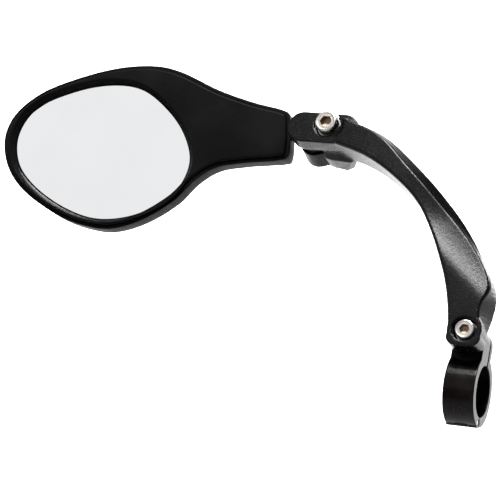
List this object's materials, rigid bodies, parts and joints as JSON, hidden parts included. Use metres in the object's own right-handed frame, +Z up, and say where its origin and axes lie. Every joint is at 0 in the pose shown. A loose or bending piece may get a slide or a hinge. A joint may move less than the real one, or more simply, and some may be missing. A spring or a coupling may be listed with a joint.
{
  "type": "bicycle handlebar mirror",
  "caption": "Oval convex rear-view mirror on a ball joint, held by a curved swivelling arm and a hinged clamp for a bicycle handlebar",
  "frame": {"origin": "centre of the handlebar bore, half way along the clamp", "axes": "+X along the handlebar to the rider's right, +Y forward, away from the rider, +Z up"},
  "size_m": [0.2517, 0.0821, 0.143],
  "materials": {
    "clamp_paint": "forged aluminium, smooth semi-gloss black paint",
    "arm_paint": "forged aluminium, satin black powder coat with a fine speckle",
    "steel": "bright stainless",
    "stud_steel": "blackened steel",
    "seat_plastic": "moulded black nylon",
    "shell_plastic": "satin black moulding",
    "lens": "silvered convex glass",
    "pad_foam": "closed-cell foam tape"
  },
  "bodies": {
    "fixed_clamp": {"front_jaw": "clamp_paint", "hinge_pin": "steel"},
    "rear_clamp": {"rear_jaw": "clamp_paint"},
    "clamp_screw": {"clamp_bolt": "steel", "clamp_washer": "steel"},
    "arm_body": {"arm": "arm_paint", "ball_clamp_cap": "arm_paint", "ball_clamp_bolt": "steel", "ball_clamp_washer": "steel"},
    "seats": {"ball_seat_front": "seat_plastic", "ball_seat_rear": "seat_plastic"},
    "stud": {"ball_stud": "stud_steel"},
    "head": {"rear_shell": "shell_plastic", "front_bezel": "shell_plastic", "lens_glass": "lens", "lens_silvering": "lens", "lens_pad": "pad_foam", "shell_screw_1": "steel", "shell_screw_2": "steel", "shell_screw_3": "steel", "shell_screw_4": "steel"}
  },
  "joints": [
    {"name": "jaw_open", "type": "hinge", "parent": "fixed_clamp", "child": "rear_clamp", "pos_m": [0, -0.007, -0.01166], "axis": [-1, 0, 0], "range_deg": [0, 60]},
    {"name": "clamp_bolt_travel", "type": "slide", "parent": "fixed_clamp", "child": "clamp_screw", "axis": [0, -0.8572, 0.515], "range_m": [0, 0.0085]},
    {"name": "arm_swivel", "type": "hinge", "parent": "fixed_clamp", "child": "arm_body", "pos_m": [0, 0.01071, 0.01783], "axis": [0, -0.8572, 0.515], "range_deg": [-60, 60]},
    {"name": "mirror_swing", "type": "hinge", "parent": "arm_body", "child": "seats", "pos_m": [-0.0913, 0.05237, 0.09686], "axis": [0, -0.8572, 0.515], "range_deg": [-35, 35]},
    {"name": "mirror_tilt", "type": "hinge", "parent": "seats", "child": "stud", "pos_m": [-0.0913, 0.05237, 0.09686], "axis": [0, 0.3955, 0.9184], "range_deg": [-14, 3]},
    {"name": "mirror_roll", "type": "hinge", "parent": "stud", "child": "head", "pos_m": [-0.0913, 0.05237, 0.09686], "axis": [0.9943, 0.0976, -0.042], "range_deg": [-25, 15]}
  ],
  "couplings": [
    {"joint": "clamp_bolt_travel", "follows": "jaw_open", "m_per_rad": 0.00764}
  ]
}
